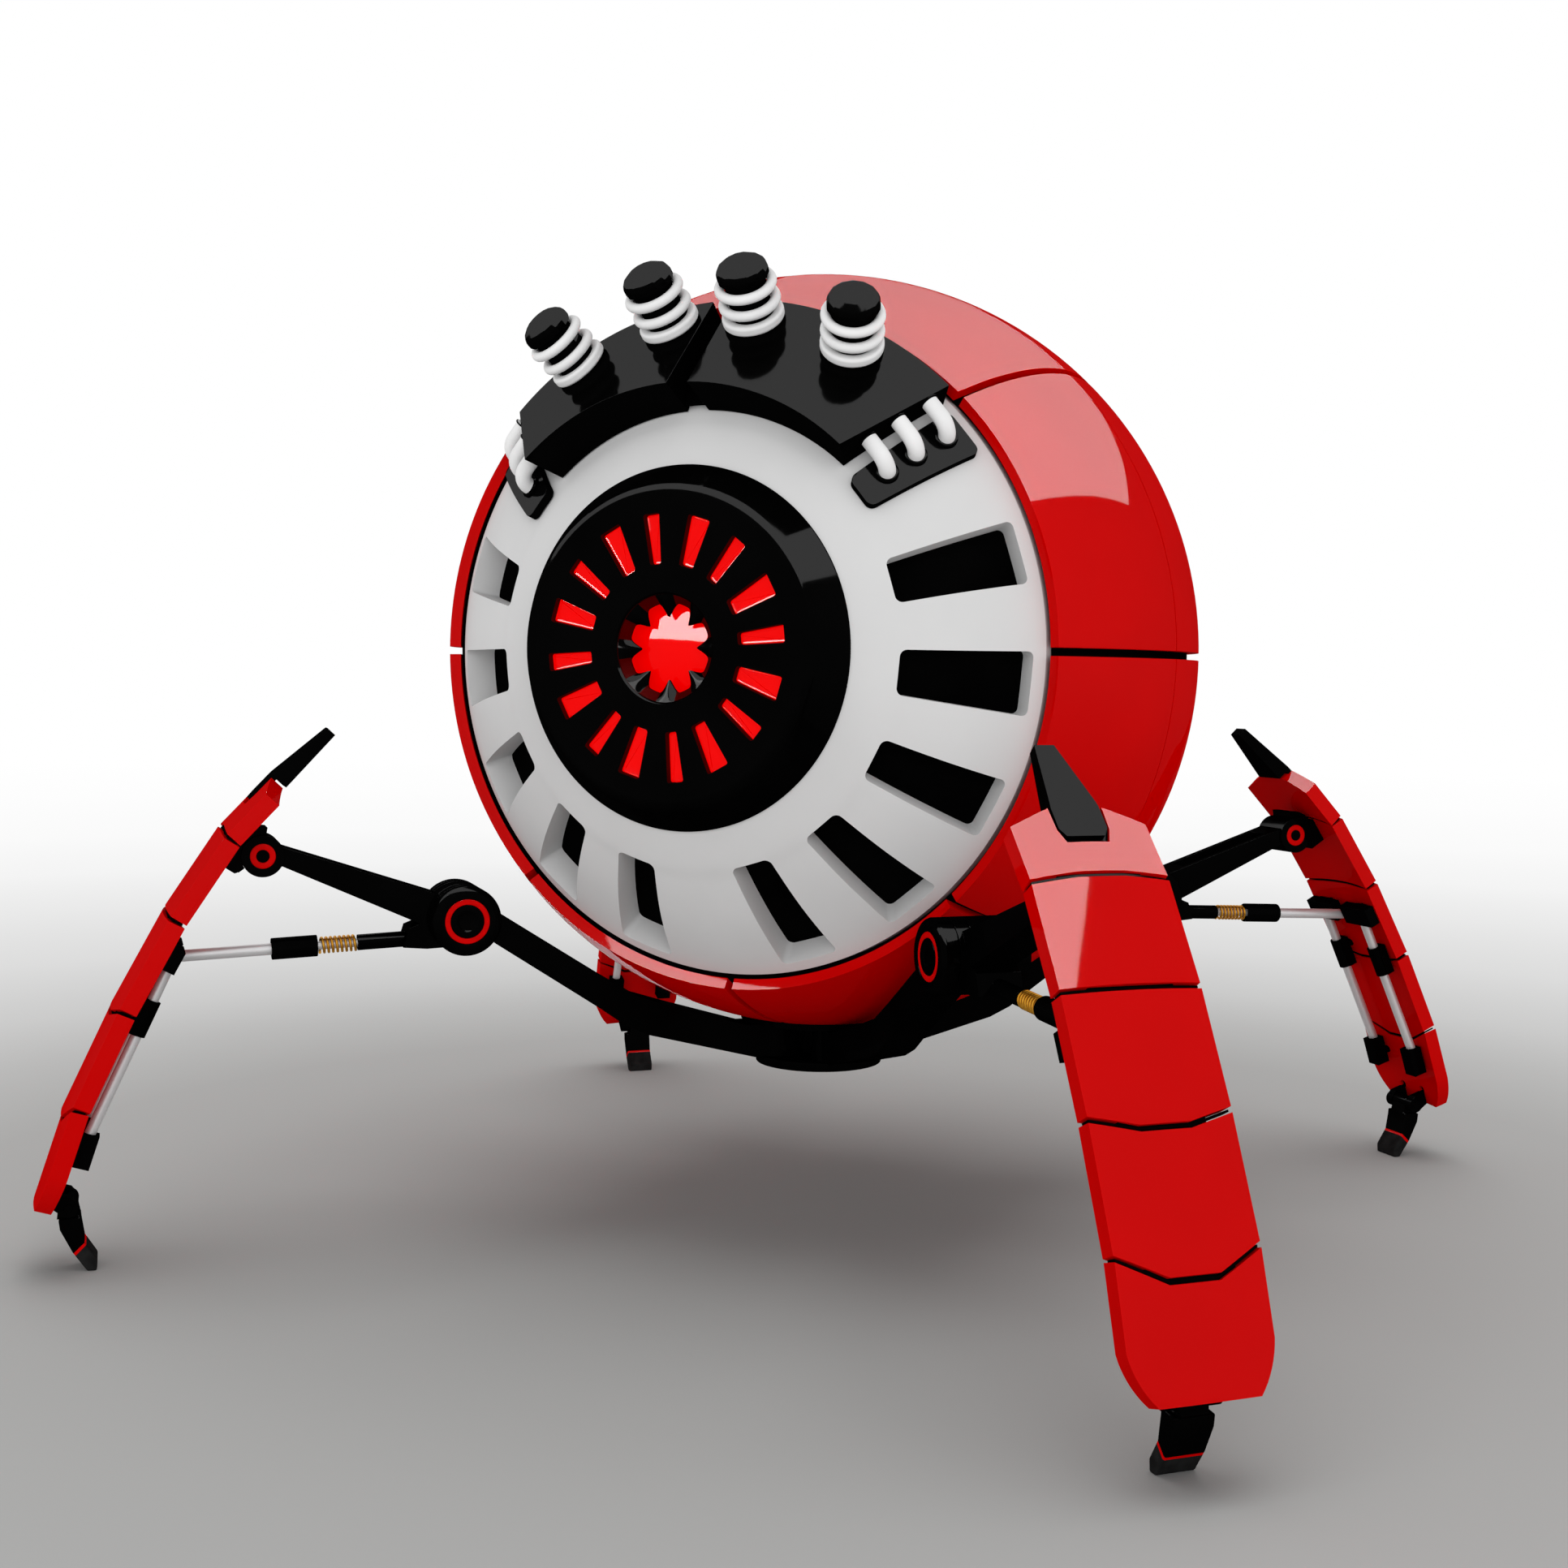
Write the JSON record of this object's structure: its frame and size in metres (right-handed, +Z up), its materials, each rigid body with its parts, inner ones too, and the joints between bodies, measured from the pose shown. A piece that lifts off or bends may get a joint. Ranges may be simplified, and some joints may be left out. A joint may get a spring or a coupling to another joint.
{
  "type": "walking robot",
  "caption": "Walking robot with a round panelled shell, a slotted white face and a large eye, carried on jointed legs with armour shields, shocks and hinged claws.",
  "frame": {"origin": "on the ground under the middle of the shell", "axes": "+Z up, the face looks along -Y, +X to the right as seen from in front"},
  "size_m": [0.3612, 0.3612, 0.3015],
  "materials": {
    "red_gloss": "gloss",
    "black_gloss": "gloss",
    "black_satin": "satin",
    "white_matte": "matte",
    "white_rubber": "matte",
    "red_lens": "gloss",
    "steel": "satin",
    "rod_steel": "polished",
    "spring_brass": "satin",
    "green_board": "matte",
    "blue_wrap": "satin"
  },
  "bodies": {
    "body": {"hub_base": "black_gloss", "hub_cover": "black_gloss", "core_shell": "black_satin", "front_panels": "red_gloss", "rear_panels": "red_gloss", "rear_cap": "red_gloss", "face_dome": "white_matte", "dome_liner": "black_satin", "eye_housing": "black_gloss", "eye_diffuser": "red_lens", "eye_lens": "red_lens", "led_board": "green_board", "brow_blocks": "black_gloss", "knob_posts": "black_gloss", "knob_rings": "white_rubber", "hose_plates": "black_gloss", "hoses": "white_rubber", "hip_motors": "steel", "battery_pack": "blue_wrap", "control_board": "green_board"},
    "front_left_arm_body": {"front_left_hip_arm": "black_gloss", "front_left_knee_motor": "steel"},
    "front_left_link_body": {"front_left_knee_link": "black_gloss", "front_left_knee_caps": "black_gloss", "front_left_shock_spring": "spring_brass"},
    "front_left_shock_body": {"front_left_shock_plunger": "rod_steel"},
    "front_left_shield_body": {"front_left_shield_panels": "red_gloss", "front_left_shield_frame": "black_gloss", "front_left_shield_rods": "rod_steel"},
    "front_left_claw_body": {"front_left_claw": "black_gloss"},
    "front_right_arm_body": {"front_right_hip_arm": "black_gloss", "front_right_knee_motor": "steel"},
    "front_right_link_body": {"front_right_knee_link": "black_gloss", "front_right_knee_caps": "black_gloss", "front_right_shock_spring": "spring_brass"},
    "front_right_shock_body": {"front_right_shock_plunger": "rod_steel"},
    "front_right_shield_body": {"front_right_shield_panels": "red_gloss", "front_right_shield_frame": "black_gloss", "front_right_shield_rods": "rod_steel"},
    "front_right_claw_body": {"front_right_claw": "black_gloss"},
    "rear_right_arm_body": {"rear_right_hip_arm": "black_gloss", "rear_right_knee_motor": "steel"},
    "rear_right_link_body": {"rear_right_knee_link": "black_gloss", "rear_right_knee_caps": "black_gloss", "rear_right_shock_spring": "spring_brass"},
    "rear_right_shock_body": {"rear_right_shock_plunger": "rod_steel"},
    "rear_right_shield_body": {"rear_right_shield_panels": "red_gloss", "rear_right_shield_frame": "black_gloss", "rear_right_shield_rods": "rod_steel"},
    "rear_right_claw_body": {"rear_right_claw": "black_gloss"},
    "rear_left_arm_body": {"rear_left_hip_arm": "black_gloss", "rear_left_knee_motor": "steel"},
    "rear_left_link_body": {"rear_left_knee_link": "black_gloss", "rear_left_knee_caps": "black_gloss", "rear_left_shock_spring": "spring_brass"},
    "rear_left_shock_body": {"rear_left_shock_plunger": "rod_steel"},
    "rear_left_shield_body": {"rear_left_shield_panels": "red_gloss", "rear_left_shield_frame": "black_gloss", "rear_left_shield_rods": "rod_steel"},
    "rear_left_claw_body": {"rear_left_claw": "black_gloss"}
  },
  "joints": [
    {"name": "front_left_hip", "type": "hinge", "parent": "body", "child": "front_left_arm_body", "pos_m": [-0.01061, -0.01061, 0.05671], "axis": [0, 0, 1], "range_deg": [-20, 20]},
    {"name": "front_left_knee", "type": "hinge", "parent": "front_left_arm_body", "child": "front_left_link_body", "pos_m": [-0.08365, -0.08365, 0.09931], "axis": [0.7071, -0.7071, 0], "range_deg": [-25, 20]},
    {"name": "front_left_shoulder", "type": "hinge", "parent": "front_left_link_body", "child": "front_left_shield_body", "pos_m": [-0.12555, -0.12555, 0.11982], "axis": [0.7071, -0.7071, 0], "range_deg": [-4, 5]},
    {"name": "front_left_shock", "type": "slide", "parent": "front_left_link_body", "child": "front_left_shock_body", "axis": [-0.7065, -0.7065, -0.0424], "range_m": [-0.0026, 0.0021], "deforming": ["front_left_shock_spring"]},
    {"name": "front_left_claw_hinge", "type": "hinge", "parent": "front_left_shield_body", "child": "front_left_claw_body", "pos_m": [-0.16418, -0.16418, 0.0193], "axis": [0.7071, -0.7071, 0], "range_deg": [-20, 20]},
    {"name": "front_right_hip", "type": "hinge", "parent": "body", "child": "front_right_arm_body", "pos_m": [0.01061, -0.01061, 0.05671], "axis": [0, 0, 1], "range_deg": [-20, 20]},
    {"name": "front_right_knee", "type": "hinge", "parent": "front_right_arm_body", "child": "front_right_link_body", "pos_m": [0.08365, -0.08365, 0.09931], "axis": [0.7071, 0.7071, 0], "range_deg": [-25, 20]},
    {"name": "front_right_shoulder", "type": "hinge", "parent": "front_right_link_body", "child": "front_right_shield_body", "pos_m": [0.12555, -0.12555, 0.11982], "axis": [0.7071, 0.7071, 0], "range_deg": [-4, 5]},
    {"name": "front_right_shock", "type": "slide", "parent": "front_right_link_body", "child": "front_right_shock_body", "axis": [0.7065, -0.7065, -0.0424], "range_m": [-0.0026, 0.0021], "deforming": ["front_right_shock_spring"]},
    {"name": "front_right_claw_hinge", "type": "hinge", "parent": "front_right_shield_body", "child": "front_right_claw_body", "pos_m": [0.16418, -0.16418, 0.0193], "axis": [0.7071, 0.7071, 0], "range_deg": [-20, 20]},
    {"name": "rear_right_hip", "type": "hinge", "parent": "body", "child": "rear_right_arm_body", "pos_m": [0.01061, 0.01061, 0.05671], "axis": [0, 0, 1], "range_deg": [-20, 20]},
    {"name": "rear_right_knee", "type": "hinge", "parent": "rear_right_arm_body", "child": "rear_right_link_body", "pos_m": [0.08365, 0.08365, 0.09931], "axis": [-0.7071, 0.7071, 0], "range_deg": [-25, 20]},
    {"name": "rear_right_shoulder", "type": "hinge", "parent": "rear_right_link_body", "child": "rear_right_shield_body", "pos_m": [0.12555, 0.12555, 0.11982], "axis": [-0.7071, 0.7071, 0], "range_deg": [-4, 5]},
    {"name": "rear_right_shock", "type": "slide", "parent": "rear_right_link_body", "child": "rear_right_shock_body", "axis": [0.7065, 0.7065, -0.0424], "range_m": [-0.0026, 0.0021], "deforming": ["rear_right_shock_spring"]},
    {"name": "rear_right_claw_hinge", "type": "hinge", "parent": "rear_right_shield_body", "child": "rear_right_claw_body", "pos_m": [0.16418, 0.16418, 0.0193], "axis": [-0.7071, 0.7071, 0], "range_deg": [-20, 20]},
    {"name": "rear_left_hip", "type": "hinge", "parent": "body", "child": "rear_left_arm_body", "pos_m": [-0.01061, 0.01061, 0.05671], "axis": [0, 0, 1], "range_deg": [-20, 20]},
    {"name": "rear_left_knee", "type": "hinge", "parent": "rear_left_arm_body", "child": "rear_left_link_body", "pos_m": [-0.08365, 0.08365, 0.09931], "axis": [-0.7071, -0.7071, 0], "range_deg": [-25, 20]},
    {"name": "rear_left_shoulder", "type": "hinge", "parent": "rear_left_link_body", "child": "rear_left_shield_body", "pos_m": [-0.12555, 0.12555, 0.11982], "axis": [-0.7071, -0.7071, 0], "range_deg": [-4, 5]},
    {"name": "rear_left_shock", "type": "slide", "parent": "rear_left_link_body", "child": "rear_left_shock_body", "axis": [-0.7065, 0.7065, -0.0424], "range_m": [-0.0026, 0.0021], "deforming": ["rear_left_shock_spring"]},
    {"name": "rear_left_claw_hinge", "type": "hinge", "parent": "rear_left_shield_body", "child": "rear_left_claw_body", "pos_m": [-0.16418, 0.16418, 0.0193], "axis": [-0.7071, -0.7071, 0], "range_deg": [-20, 20]}
  ],
  "couplings": [
    {"joint": "front_left_shock", "follows": "front_left_shoulder", "m_per_rad": -0.02856},
    {"joint": "front_right_shock", "follows": "front_right_shoulder", "m_per_rad": -0.02856},
    {"joint": "rear_right_shock", "follows": "rear_right_shoulder", "m_per_rad": -0.02856},
    {"joint": "rear_left_shock", "follows": "rear_left_shoulder", "m_per_rad": -0.02856}
  ]
}
